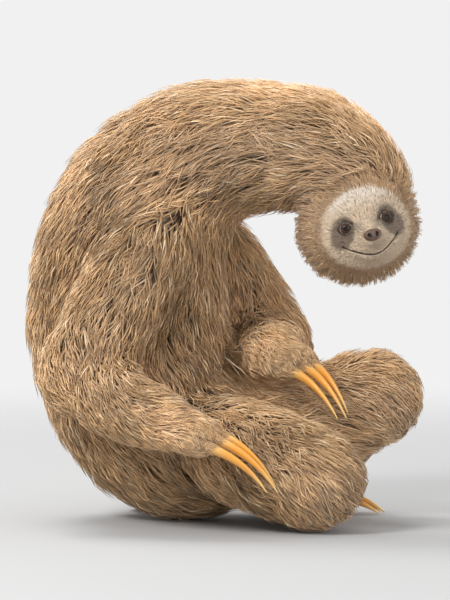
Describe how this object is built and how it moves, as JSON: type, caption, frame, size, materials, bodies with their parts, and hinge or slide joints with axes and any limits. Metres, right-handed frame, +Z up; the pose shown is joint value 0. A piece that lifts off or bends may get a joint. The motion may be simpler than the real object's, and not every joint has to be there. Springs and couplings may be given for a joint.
{
  "type": "three-toed sloth museum model",
  "caption": "Life-size still model of a three-toed sloth sitting curled on its rump, long arms and claws over drawn-up legs, face turned to the side.",
  "frame": {"origin": "on the floor, under the middle of the model's box", "axes": "+Z up from the floor; the curled body faces +X, turned 20 degrees towards -Y, and the face looks towards -Y"},
  "size_m": [0.408, 0.3422, 0.4461],
  "materials": {
    "coat": "long shaggy grey-brown hair",
    "face_coat": "short pale face hair",
    "nose_skin": "bare dark skin, slightly moist",
    "eye": "wet and glossy",
    "claw_horn": "smooth ochre horn"
  },
  "bodies": {
    "root": {"head": "face_coat", "neck": "coat", "trunk": "coat", "tail": "coat", "nose": "nose_skin", "eye_left": "eye", "upper_arm_left": "coat", "forearm_left": "coat", "hand_left": "coat", "thigh_left": "coat", "shin_left": "coat", "foot_left": "coat", "hand_left_claw_inner": "claw_horn", "hand_left_claw_middle": "claw_horn", "hand_left_claw_outer": "claw_horn", "foot_left_claw_inner": "claw_horn", "foot_left_claw_middle": "claw_horn", "foot_left_claw_outer": "claw_horn", "eye_right": "eye", "upper_arm_right": "coat", "forearm_right": "coat", "hand_right": "coat", "thigh_right": "coat", "shin_right": "coat", "foot_right": "coat", "hand_right_claw_inner": "claw_horn", "hand_right_claw_middle": "claw_horn", "hand_right_claw_outer": "claw_horn", "foot_right_claw_inner": "claw_horn", "foot_right_claw_middle": "claw_horn", "foot_right_claw_outer": "claw_horn"}
  },
  "joints": []
}
